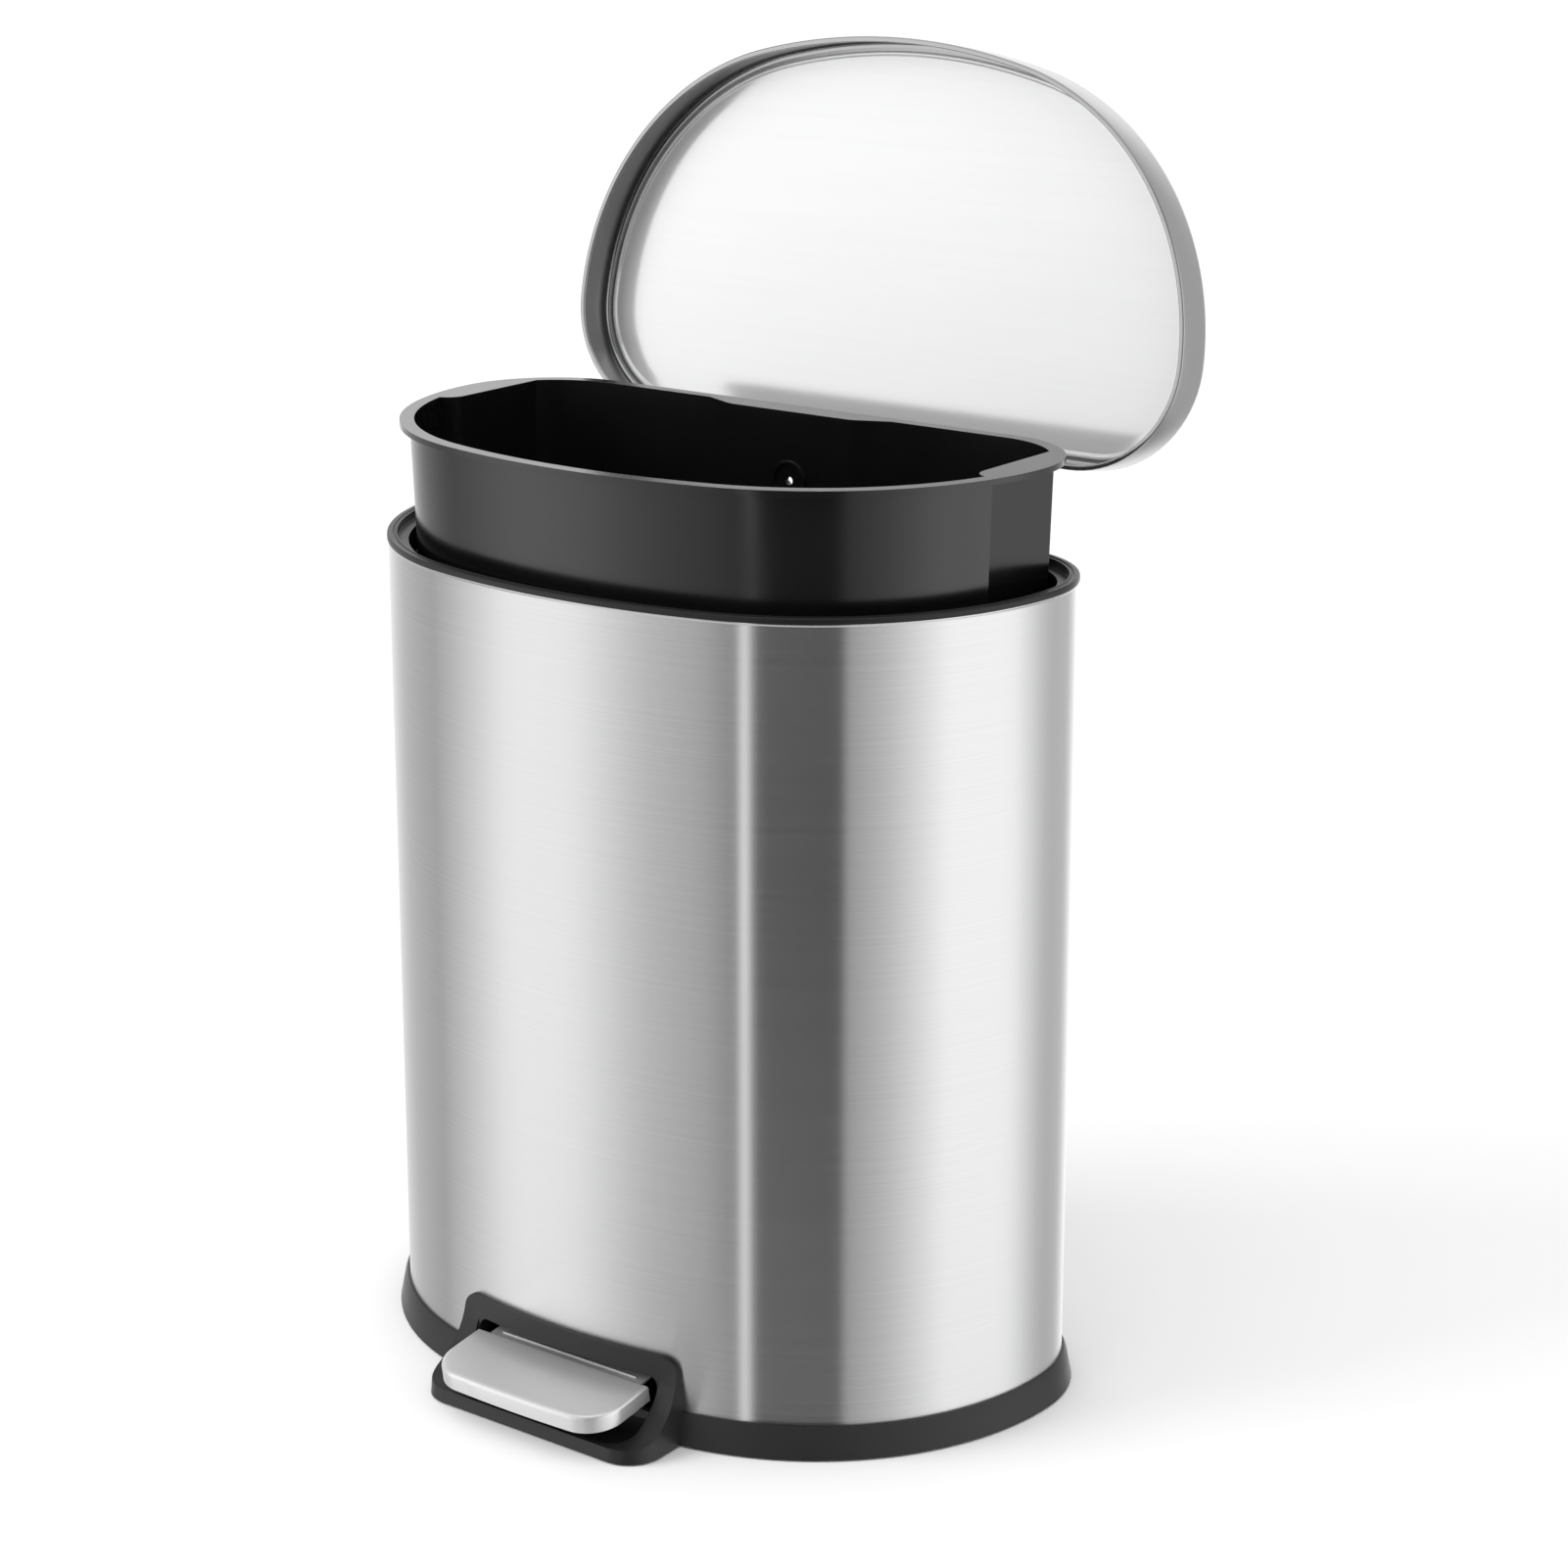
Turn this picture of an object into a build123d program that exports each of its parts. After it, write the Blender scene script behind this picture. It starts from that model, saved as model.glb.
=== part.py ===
"""Pedal trash can with a semi-round steel shell, lift-out bucket and pedal-opened lid.

Frame: millimetres, +Z up. The origin is on the floor, on the mid-plane, under the widest
line of the shell. The pedal is at the front (-Y), the flat back and the hinge are at +Y.
Every piece is drawn with the lid open, the pedal down and the bucket raised.
"""
import os
from math import atan2, cos, degrees, radians, sin, sqrt

from build123d import *

# ---- driving dimensions -------------------------------------------------------------
HALF_WIDTH = 200.0        # shell, at its widest line (y = 0)
FRONT_RADIUS = 355.0      # broad front curve of the D outline
SIDE_RADIUS = 150.0       # curve between the front and the widest line
REAR_RADIUS = 68.0        # rear corners
BACK = REAR_RADIUS        # outer face of the flat back
STEEL = 0.8               # sheet thickness of shell and lid

SHELL_BOTTOM = 8.0        # the shell stands in a groove of the base ring
SHELL_TOP = 444.5
RING_TOP = 447.6          # top of the trim ring
SEAT_Z = 443.0            # ledge of the trim ring that carries the bucket flange

BASE_BOTTOM = 1.0         # the base ring hangs 1 mm above the floor, on its rubber foot
BASE_FLARE = 5.6          # how far the base ring stands out at the bottom
BASE_TOP = 18.0
PLATE_TOP = 10.5          # top of the base plate

SURROUND_HALF = 72.0      # pedal surround, half width
SURROUND_TOP = 48.0
SURROUND_PROUD = 3.0
SURROUND_CORNER = 9.0
WINDOW_HALF = 61.0        # opening for the pedal
WINDOW_TOP = 36.3
CHIN_FRONT = -190.5       # front of the scoop below the pedal
CHIN_HALF = 76.0
CHIN_LIP = 8.5
CHIN_FLOOR = 4.0

LID_OFFSET = 2.1          # the lid stands out past the shell by this
LID_REAR = 59.4           # rear corner radius of the lid before the offset
LID_RIM_Z = 448.2
LID_DEPTH = 25.4
HEM = 3.0                 # width of the rolled rim
LID_OPEN = 99.4           # degrees from closed to open
HINGE_Y = 97.0
HINGE_Z = 449.0
HINGE_PIN_R = 3.0
RUNNING = 0.05            # radial clearance of a running fit

CRANK = 13.0              # radius from the hinge axis to the crank pin
CRANK_PIN_R = 2.5
CRANK_HALF_ANGLE = LID_OPEN / 2
CRANK_Y = HINGE_Y - CRANK * cos(radians(CRANK_HALF_ANGLE))
CRANK_Z = HINGE_Z + CRANK * sin(radians(CRANK_HALF_ANGLE))

BUCKET_TOP = 508.7        # top of its flange, raised
BUCKET_HEIGHT = 394.5
FLANGE_INSET = 7.7        # flange edge, inside the shell's outline
WALL_INSET = 13.0         # bucket wall below the flange
WALL_TAPER = 14.0         # how much further in the wall is at the bottom
BUCKET_WALL = 2.5
FLANGE_THICK = 3.2
GRIP_X = 173.5            # flat grip recesses either side
GRIP_FRONT = -35.0
RECESS_HALF = 38.0        # flat of the shallow recess in the back wall
RECESS_SLANT = 32.0       # its sides slope outward by this over RECESS_RUN
RECESS_RUN = 14.0
RECESS_Y = 46.0
GRIP_CORNER = 12.0
VENT_HOLE_R = 2.2
VENT_DROP = 38.0          # vent in the back wall, below the rim

PEDAL_Y = -130.0          # pedal pivot
PEDAL_Z = 21.5
AXLE_R = 3.0
PAD_TILT = 8.0            # degrees, front down when pressed
PAD_REF_Y = -160.1        # where the pad's top crosses the surround
PAD_REF_Z = 32.1
PAD_HALF = 58.5
PAD_REACH = 41.8          # pad in front of that line
PAD_TAIL = 2.0            # pad behind it, inside the window
TONGUE_REACH = 17.0       # thin tongue of the cover, behind the pad
TONGUE_HALF = 52.0
TONGUE_TOP = -2.6
TONGUE_LIP_Y = 7.0        # a small stiffening rib stands on it here
TONGUE_LIP = 0.7
PAD_THICK = 9.7
PAD_CORNER = 20.0
PAD_SKIN = 1.2

ROD_Y = 86.0              # lift rod, behind the shell
ROD_R = 3.0
LEVER_PIN_Z = 38.0
LEVER_PIN_R = 2.5
DAMPER_X, DAMPER_Y = 24.0, 83.0

COVER_HALF = 24.0         # rod cover, half width
COVER_BACK = 102.0
COVER_WALL = 2.5
HOUSING_HALF = 56.0
HOUSING_BACK = 116.0
HOUSING_BOTTOM = 350.0
HOUSING_TOP = 444.0
HOUSING_WALL = 3.0
HOUSING_WAIST = 385.0     # below this height the sides slope in
PLATE_SPAN = 48.0         # room for the reinforcement plate behind the trim ring's skirt
GUIDE_HEIGHTS = (120.0, 318.0)
GUIDE_TALL = 9.0

FAR = 600.0               # longer than anything, for cutting right through

PEDAL_CUT_HALF = 66.0     # opening in the shell behind the surround
PEDAL_CUT_TOP = 42.0
LINING = 0.5              # the surround's lining stands back from that opening
TRIM_PROUD = 0.7          # trim ring: band, lips and ledge, inside the shell's outline
TRIM_BEVEL = 0.8
TRIM_BAND_IN = -4.5
TRIM_RISER = (-3.0, -4.8)
TRIM_SKIRT_IN = -3.4
TRIM_SKIRT_LOW = 424.0
TRIM_LEDGE_IN = -11.0
TRIM_LIP_OUT = -9.4
TRIM_LEDGE_THICK = 2.4
TRIM_LIP_DROP = 9.0
SHOULDER_Z = 15.0         # base ring: where its flare meets the top bevel
SHOULDER_OUT = 2.8
BASE_TOP_OUT = 1.4
BASE_INNER = -8.0         # inner edge of the base ring
PLATE_FRONT = -144.0      # the base plate stops here, between the surround's sides
LIGHTENING_R = 16.0       # holes in the base plate
SCOOP_RADIUS = 35.5       # scoop below the pedal
BACK_WALL = (50.0, 80.0)  # range of y that crosses the shell's back


# ---- shared helpers -----------------------------------------------------------------
def d_face(offset=0.0, rear=REAR_RADIUS):
    """The D outline of the can, grown by offset, as a face at z = 0."""
    side_x = HALF_WIDTH - SIDE_RADIUS
    rear_x = HALF_WIDTH - rear
    front_y = sqrt((FRONT_RADIUS - SIDE_RADIUS) ** 2 - side_x ** 2)
    front, side, corner = FRONT_RADIUS + offset, SIDE_RADIUS + offset, rear + offset
    turn = atan2(-front_y, side_x)
    join = (front * cos(turn), front_y + front * sin(turn))
    mid_side = (side_x + side * cos(turn / 2), side * sin(turn / 2))
    mid_rear = (rear_x + corner * cos(radians(45)), corner * sin(radians(45)))
    half = [join, mid_side, (side_x + side, 0), mid_rear, (rear_x, corner)]
    other = [(-x, y) for x, y in half]
    edges = [
        ThreePointArc(other[0], (0, front_y - front), half[0]),
        ThreePointArc(half[0], half[1], half[2]),
        ThreePointArc(half[2], half[3], half[4]),
        Line(half[4], other[4]),
        ThreePointArc(other[4], other[3], other[2]),
        ThreePointArc(other[2], other[1], other[0]),
    ]
    return make_face(Wire(edges))


def prism(low, high, offset=0.0, rear=REAR_RADIUS):
    """Straight block of the D outline between two heights."""
    return Pos(0, 0, low) * extrude(d_face(offset, rear), high - low)


def frustum(low, low_offset, high, high_offset, rear=REAR_RADIUS):
    """Block of the D outline whose offset changes with height."""
    ends = [Pos(0, 0, low) * d_face(low_offset, rear), Pos(0, 0, high) * d_face(high_offset, rear)]
    return loft(ends, ruled=True)


def ring(low, high, outer, inner, rear=REAR_RADIUS):
    """Band of the D outline between two offsets."""
    return prism(low, high, outer, rear) - prism(low, high, inner, rear)


def block(x0, x1, y0, y1, z0, z1):
    """Box between two corners."""
    corner = (Align.MIN, Align.MIN, Align.MIN)
    return Pos(x0, y0, z0) * Box(x1 - x0, y1 - y0, z1 - z0, align=corner)


def rod_x(radius, x0, x1, y, z):
    """Round bar along X."""
    bar = Cylinder(radius, x1 - x0, align=(Align.CENTER, Align.CENTER, Align.MIN))
    return Pos(x0, y, z) * Rot(0, 90, 0) * bar


def rod_y(radius, y0, y1, x, z):
    """Round bar along Y."""
    bar = Cylinder(radius, y1 - y0, align=(Align.CENTER, Align.CENTER, Align.MIN))
    return Pos(x, y0, z) * Rot(-90, 0, 0) * bar


def rod_z(radius, z0, z1, x, y):
    """Round bar along Z."""
    bar = Cylinder(radius, z1 - z0, align=(Align.CENTER, Align.CENTER, Align.MIN))
    return Pos(x, y, z0) * bar


def side_profile(edges, x0, x1):
    """Extrude a closed outline, drawn as (y, z), along X from x0 to x1."""
    face = make_face(Wire(edges))
    return Pos(x0, 0, 0) * extrude(Plane.YZ * face, x1 - x0)


def polygon_x(points, x0, x1):
    """Extrude a straight-sided (y, z) outline along X."""
    return side_profile(Polyline(*points, close=True).edges(), x0, x1)


def front_prism(sketch, y0, y1):
    """Extrude a sketch drawn as (x, z) along Y from y0 to y1."""
    return Pos(0, y1, 0) * extrude(Plane.XZ * sketch, y1 - y0)


def opened(piece):
    """Turn a piece drawn with the lid closed to where it is with the lid open."""
    return Pos(0, HINGE_Y, HINGE_Z) * Rot(-LID_OPEN, 0, 0) * Pos(0, -HINGE_Y, -HINGE_Z) * piece


def on_pad(piece):
    """Place a piece drawn with the pad level, its top at z = 0, on the tilted pedal."""
    return Pos(0, PAD_REF_Y, PAD_REF_Z) * Rot(PAD_TILT, 0, 0) * piece


# ---- shell, trim and base -----------------------------------------------------------
HOUSING_SCREWS = [(x, z) for x in (-36.0, 36.0) for z in (384.0, 422.0)]
SCREW_R = 2.0
SMALL_SCREW_R = 1.8
GUIDE_SCREW_X = 12.0
LEVER_SLOT_HALF = 18.0
LEVER_SLOT_TOP = 49.0


def outer_shell():
    """Steel tube with the pedal opening and the lever slot."""
    tube = ring(SHELL_BOTTOM, SHELL_TOP, 0, -STEEL)
    pedal_cut = block(-PEDAL_CUT_HALF, PEDAL_CUT_HALF, -FAR, -100, 0, PEDAL_CUT_TOP)
    lever_cut = block(-LEVER_SLOT_HALF, LEVER_SLOT_HALF, 40, FAR, 0, LEVER_SLOT_TOP)
    tube -= pedal_cut + lever_cut
    for x, z in HOUSING_SCREWS:
        tube -= rod_y(SCREW_R, *BACK_WALL, x, z)
    for z in GUIDE_HEIGHTS:
        for x in (-GUIDE_SCREW_X, GUIDE_SCREW_X):
            tube -= rod_y(SMALL_SCREW_R, *BACK_WALL, x, z)
    return tube


def top_trim_ring():
    """Plastic ring that caps the shell and carries the bucket."""
    bevel_low = RING_TOP - TRIM_BEVEL
    band = prism(SHELL_TOP, bevel_low, TRIM_PROUD) + frustum(bevel_low, TRIM_PROUD, RING_TOP, 0)
    band -= prism(SHELL_TOP, RING_TOP, TRIM_BAND_IN)
    skirt = ring(TRIM_SKIRT_LOW, SHELL_TOP, -STEEL, TRIM_SKIRT_IN)
    ledge_low = SEAT_Z - TRIM_LEDGE_THICK
    ledge = ring(ledge_low, SEAT_Z, -STEEL, TRIM_LEDGE_IN)
    riser = ring(ledge_low, RING_TOP - 1.2, *TRIM_RISER)
    lip_low = SEAT_Z - TRIM_LIP_DROP
    drop_lip = ring(lip_low, SEAT_Z, TRIM_LIP_OUT, TRIM_LEDGE_IN)
    body = band + skirt + ledge + riser + drop_lip
    return body - block(-PLATE_SPAN, PLATE_SPAN, 60, 72, 400, lip_low)


FOOT_TOP = 2.2            # the rubber foot sits in a groove of the base ring
FOOT_OUTER, FOOT_INNER = 3.0, -0.8
SCREW_LINE = -4.4         # base screws, inside the shell's outline


def side_spots(angles, offset):
    """Points along both side curves of the D outline, at angles below the widest line."""
    radius, centre = SIDE_RADIUS + offset, HALF_WIDTH - SIDE_RADIUS
    right = [(centre + radius * cos(radians(a)), -radius * sin(radians(a))) for a in angles]
    return [(side * x, y) for x, y in right for side in (-1, 1)]


REAR_SCREWS = [(x, BACK + SCREW_LINE) for x in (-90.0, 90.0)]
BASE_SCREWS = side_spots((12, 68), SCREW_LINE) + REAR_SCREWS
SCREW_HEAD_R = 3.1
COUNTERBORE_R = 3.3
COUNTERBORE_TOP = 3.6


def surround_front(low_half, top_half):
    """Front outline of the surround, with round top corners."""
    corners = [(-low_half, 0), (low_half, 0), (top_half, SURROUND_TOP), (-top_half, SURROUND_TOP)]
    face = make_face(Polyline(*corners, close=True))
    return fillet(face.vertices().group_by(Axis.Y)[-1], SURROUND_CORNER)


def pedal_surround():
    """Frame round the pedal opening and the scoop below it, still solid behind."""
    frame_front = surround_front(SURROUND_HALF, SURROUND_HALF)
    frame = prism(BASE_BOTTOM, SURROUND_TOP, SURROUND_PROUD) & front_prism(frame_front, -FAR, -100)
    lining_half, lining_top = PEDAL_CUT_HALF - LINING, PEDAL_CUT_TOP - LINING
    lining = prism(SHELL_BOTTOM, lining_top, LINING)
    lining &= block(-lining_half, lining_half, -FAR, -100, SHELL_BOTTOM, lining_top)
    lining -= prism(SHELL_BOTTOM, lining_top, -5)
    ends = []
    depth = 80.0
    low_end = (BASE_BOTTOM, CHIN_HALF, CHIN_FRONT, 20)
    top_end = (SURROUND_TOP, SURROUND_HALF, CHIN_FRONT + 4.5, 16)
    for height, half, front, corner in (low_end, top_end):
        plan = Pos(0, front + depth / 2, height) * RectangleRounded(2 * half, depth, corner)
        ends.append(plan)
    chin = loft(ends, ruled=True) & front_prism(surround_front(CHIN_HALF, SURROUND_HALF), -FAR, 0)
    lip_y = CHIN_FRONT + 2.5
    turn = SCOOP_RADIUS * sin(radians(45))
    arc_mid = (lip_y + turn, CHIN_LIP + SCOOP_RADIUS - turn)
    arc_end = (lip_y + SCOOP_RADIUS, CHIN_LIP + SCOOP_RADIUS)
    scoop = [
        ThreePointArc((lip_y, CHIN_LIP), arc_mid, arc_end),
        Line(arc_end, (arc_end[0], 80)),
        Line((arc_end[0], 80), (-FAR, 80)),
        Line((-FAR, 80), (-FAR, CHIN_LIP)),
        Line((-FAR, CHIN_LIP), (lip_y, CHIN_LIP)),
    ]
    chin -= side_profile(scoop, -FAR, FAR)
    skin = frame + chin - prism(SHELL_BOTTOM, FAR, 0) - prism(0, SHELL_BOTTOM, BASE_INNER)
    return skin + lining


def base_ring():
    """Flared plastic base with the pedal surround moulded on."""
    flare = frustum(BASE_BOTTOM, BASE_FLARE, SHOULDER_Z, SHOULDER_OUT)
    flare += frustum(SHOULDER_Z, SHOULDER_OUT, BASE_TOP, BASE_TOP_OUT)
    flare -= prism(SHELL_BOTTOM, BASE_TOP, 0) + prism(0, SHELL_BOTTOM, BASE_INNER)
    body = flare + pedal_surround()
    opening_tall = WINDOW_TOP - CHIN_FLOOR
    opening = Pos(0, (WINDOW_TOP + CHIN_FLOOR) / 2) * RectangleRounded(2 * WINDOW_HALF, opening_tall, 6)
    cavity_plan = Pos(0, CHIN_FRONT + 4 + 30) * RectangleRounded(2 * (WINDOW_HALF + 1.5), 60, 15)
    cavity = Pos(0, 0, CHIN_FLOOR) * extrude(cavity_plan, opening_tall)
    cavity -= prism(0, 90, SURROUND_PROUD)
    body -= front_prism(opening, -175, -120) + cavity
    body -= block(-LEVER_SLOT_HALF, LEVER_SLOT_HALF, 55, FAR, SHELL_BOTTOM, BASE_TOP + 1)
    body -= ring(0, FOOT_TOP, FOOT_OUTER, FOOT_INNER)
    for x, y in BASE_SCREWS:
        body -= rod_z(SMALL_SCREW_R, 0, SHELL_BOTTOM, x, y) + rod_z(COUNTERBORE_R, 0, COUNTERBORE_TOP, x, y)
    return body


def base_plate():
    """Plate inside the base that closes the bottom and carries the pedal."""
    plate = prism(SHELL_BOTTOM, PLATE_TOP, -STEEL - 0.2)
    for x, y in BASE_SCREWS:
        plate -= rod_z(SMALL_SCREW_R, 0, 20, x, y)
    for x, y in BRACKET_RIVETS:
        plate -= rod_z(SMALL_SCREW_R, 0, 20, x, y)
    plate -= block(-PEDAL_CUT_HALF, PEDAL_CUT_HALF, -FAR, PLATE_FRONT, 0, 20)
    for x in (-110, 110):
        for y in (-60, 20):
            plate -= rod_z(LIGHTENING_R, 0, 20, x, y)
    return plate


def rubber_foot():
    """Non-slip rubber ring under the base."""
    return ring(0, FOOT_TOP, FOOT_OUTER, FOOT_INNER)


def base_screws():
    """Screws that hold the base ring to the base plate, driven from below."""
    return Compound([
        rod_z(SCREW_HEAD_R, 1.3, COUNTERBORE_TOP, x, y)
        + rod_z(SMALL_SCREW_R, COUNTERBORE_TOP, PLATE_TOP, x, y)
        for x, y in BASE_SCREWS
    ])


# ---- pedal --------------------------------------------------------------------------
BRACKET_RIVETS = [(x, PEDAL_Y + y) for x in (-9.0, 9.0) for y in (-8.0, 8.0)]
EAR_IN, EAR_OUT = 15.5, 18.0


def pedal_bracket():
    """U bracket that carries the pedal axle."""
    foot = block(-EAR_OUT, EAR_OUT, PEDAL_Y - 13, PEDAL_Y + 13, PLATE_TOP, PLATE_TOP + 2)
    ear = block(EAR_IN, EAR_OUT, PEDAL_Y - 9, PEDAL_Y + 9, PLATE_TOP + 2, PEDAL_Z)
    ear += rod_x(9, EAR_IN, EAR_OUT, PEDAL_Y, PEDAL_Z)
    body = foot + ear + mirror(ear, Plane.YZ)
    body -= rod_x(AXLE_R, -30, 30, PEDAL_Y, PEDAL_Z)
    for x, y in BRACKET_RIVETS:
        body -= rod_z(SMALL_SCREW_R, 0, 20, x, y)
    return body


def bracket_rivets():
    """Rivets through the bracket and the base plate."""
    low, high = SHELL_BOTTOM, PLATE_TOP + 2
    return Compound([
        rod_z(SMALL_SCREW_R, low, high, x, y) + rod_z(3, low - 1, low, x, y) + rod_z(3, high, high + 1, x, y)
        for x, y in BRACKET_RIVETS
    ])


def pedal_axle():
    """Steel axle of the pedal."""
    return rod_x(AXLE_R, -22.5, 22.5, PEDAL_Y, PEDAL_Z)


def axle_clips():
    """Ring clips on the ends of the axle."""
    clip = rod_x(5.5, 18.4, 19.6, PEDAL_Y, PEDAL_Z) - rod_x(AXLE_R, 18, 20, PEDAL_Y, PEDAL_Z)
    return Compound([clip, mirror(clip, Plane.YZ)])


def pedal_stop():
    """Rubber block that the lever comes down on."""
    return block(-8, 8, -174, -164, CHIN_FLOOR, 12.6)


LEVER_OUT, LEVER_IN = 14.0, 12.0
LEVER_PLAY = 0.3
LEVER_HALF_TALL = 5.5
PAD_SCREWS = ((-6.0, -12.0), (6.0, -12.0))


def lever_outline(drop):
    """Side outline of the lever, with its top edge lowered by drop."""
    slope = (LEVER_PIN_Z - PEDAL_Z) / (ROD_Y - PEDAL_Y)
    under_pad = PAD_REF_Z - (PAD_THICK - PAD_SKIN) / cos(radians(PAD_TILT))
    pad_slope = sin(radians(PAD_TILT)) / cos(radians(PAD_TILT))
    front_y, knee_y = -178.0, -138.0
    front_z = under_pad + pad_slope * (front_y - PAD_REF_Y) - drop
    knee_z = under_pad + pad_slope * (knee_y - PAD_REF_Y) - drop
    start_y = PEDAL_Y + 12
    start_z = PEDAL_Z + slope * (start_y - PEDAL_Y)
    top_end = (ROD_Y, LEVER_PIN_Z + LEVER_HALF_TALL - drop)
    low_end = (ROD_Y, LEVER_PIN_Z - LEVER_HALF_TALL - drop)
    nose = (ROD_Y + LEVER_HALF_TALL, LEVER_PIN_Z - drop)
    low_start = (start_y, start_z - LEVER_HALF_TALL - drop)
    points = [low_start, (knee_y, 15.6 - drop), (front_y, 13.6 - drop), (front_y, front_z)]
    points += [(knee_y, knee_z), (start_y, start_z + LEVER_HALF_TALL - drop), top_end]
    edges = [Line(a, b) for a, b in zip(points, points[1:])]
    return edges + [ThreePointArc(top_end, nose, low_end), Line(low_end, low_start)]


def pedal_lever():
    """Bent steel channel from the pad, over the axle, to the lift rod."""
    body = side_profile(lever_outline(0), -LEVER_OUT, LEVER_OUT)
    body -= side_profile(lever_outline(2), -LEVER_IN, LEVER_IN)
    body -= block(-LEVER_IN, LEVER_IN, 62, 120, 0, 80)
    body -= block(-LEVER_IN, LEVER_IN, -190, -176, 0, 18)
    body -= rod_x(AXLE_R + RUNNING, -30, 30, PEDAL_Y, PEDAL_Z)
    slot = SlotOverall(2 * LEVER_PIN_R + 2.0, 2 * LEVER_PIN_R + 0.4)
    body -= Pos(-30, ROD_Y, LEVER_PIN_Z) * extrude(Plane.YZ * slot, 60)
    for x, y in PAD_SCREWS:
        body -= on_pad(rod_z(SMALL_SCREW_R, -20, 0, x, y))
    return body


def pad_outline(inset):
    """Plan of the pad: straight sides and round front corners."""
    half, front, tail = PAD_HALF - inset, -PAD_REACH + inset, PAD_TAIL - inset
    corner = PAD_CORNER - inset
    bulge = 0.8
    turn = corner * cos(radians(45))
    right = (half - corner, front + bulge)
    mid = (half - corner + turn, front + bulge + corner - turn)
    edges = [
        ThreePointArc((-right[0], right[1]), (0, front), right),
        ThreePointArc(right, mid, (half, front + bulge + corner)),
        Line((half, front + bulge + corner), (half, tail)),
        Line((half, tail), (-half, tail)),
        Line((-half, tail), (-half, front + bulge + corner)),
        ThreePointArc((-half, front + bulge + corner), (-mid[0], mid[1]), (-right[0], right[1])),
    ]
    return make_face(Wire(edges))


def pedal_pad_cover():
    """Pressed metal cover of the pedal."""
    body = Pos(0, 0, -PAD_THICK) * extrude(pad_outline(0), PAD_THICK)
    body = fillet(body.edges().group_by(Axis.Z)[-1], 2.4)
    hollow = Pos(0, 0, -PAD_THICK) * extrude(pad_outline(PAD_SKIN), PAD_THICK - PAD_SKIN)
    notch_half = LEVER_OUT + LEVER_PLAY
    notch = block(-notch_half, notch_half, 0, PAD_TAIL + 1, -PAD_THICK, -PAD_THICK + PAD_SKIN + LEVER_PLAY)
    root_y, under = PAD_TAIL - PAD_SKIN / 2, TONGUE_TOP - PAD_SKIN
    tongue = block(-TONGUE_HALF, TONGUE_HALF, root_y, TONGUE_REACH, under, TONGUE_TOP)
    lip_half, lip_back, lip_top = TONGUE_HALF - 6, TONGUE_LIP_Y + TONGUE_LIP, TONGUE_TOP + TONGUE_LIP
    lip = block(-lip_half, lip_half, TONGUE_LIP_Y, lip_back, TONGUE_TOP, lip_top)
    return on_pad(body - hollow - notch + tongue + lip)


def pedal_pad_core():
    """Plastic core inside the cover, screwed to the lever."""
    core = Pos(0, 0, -PAD_THICK + PAD_SKIN) * extrude(pad_outline(PAD_SKIN + 0.1), PAD_THICK - 2 * PAD_SKIN)
    for x, y in PAD_SCREWS:
        core -= rod_z(SMALL_SCREW_R, -20, -4, x, y)
    return on_pad(core)


def pad_screws():
    """Screws up through the lever into the core."""
    head_top = -(PAD_THICK - PAD_SKIN) - 2.0
    return Compound([
        on_pad(rod_z(SMALL_SCREW_R, head_top, -4, x, y) + rod_z(3.2, head_top - 2, head_top, x, y))
        for x, y in PAD_SCREWS
    ])


# ---- lift rod -----------------------------------------------------------------------
EYE_HALF = 11.0
HEAD_HALF = 6.0
HEAD_BOTTOM = CRANK_Z - 14.0
HEAD_TOP = CRANK_Z + 7.5
SLOT_MID_Y = (CRANK_Y + HINGE_Y - CRANK) / 2


def rod_eye():
    """Block at the foot of the rod, between the cheeks of the lever."""
    body = block(-EYE_HALF, EYE_HALF, ROD_Y - 6.5, ROD_Y + 6.5, LEVER_PIN_Z - 5.5, LEVER_PIN_Z + 9)
    body -= rod_x(LEVER_PIN_R, -30, 30, ROD_Y, LEVER_PIN_Z)
    return body - rod_z(ROD_R, LEVER_PIN_Z + LEVER_PIN_R, 60, 0, ROD_Y)


def rod_pin():
    """Pin that joins the rod to the lever."""
    pin = rod_x(LEVER_PIN_R, -16.5, 15.5, ROD_Y, LEVER_PIN_Z)
    return pin + rod_x(4, 14.8, 16.5, ROD_Y, LEVER_PIN_Z)


def lift_rod():
    """Steel rod up the back of the can."""
    return rod_z(ROD_R, LEVER_PIN_Z + LEVER_PIN_R, HEAD_BOTTOM + 4, 0, ROD_Y)


def rod_head():
    """Slotted head that drives the crank pin, with an arm to the damper."""
    body = block(-HEAD_HALF, HEAD_HALF, 78, 95.4, HEAD_BOTTOM, HEAD_TOP)
    slot = SlotOverall(2 * (CRANK_PIN_R + 0.6) + CRANK_Y - (HINGE_Y - CRANK) + 0.8, 2 * (CRANK_PIN_R + 0.85))
    body -= Pos(-30, SLOT_MID_Y, CRANK_Z) * extrude(Plane.YZ * slot, 60)
    body += block(HEAD_HALF, DAMPER_X + 5, DAMPER_Y - 5, DAMPER_Y + 5, HEAD_BOTTOM, HEAD_BOTTOM + 4)
    body -= rod_z(ROD_R, HEAD_BOTTOM, HEAD_BOTTOM + 4, 0, ROD_Y)
    return body - rod_z(DAMPER_ROD_R, HEAD_BOTTOM, HEAD_BOTTOM + 4, DAMPER_X, DAMPER_Y)


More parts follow.
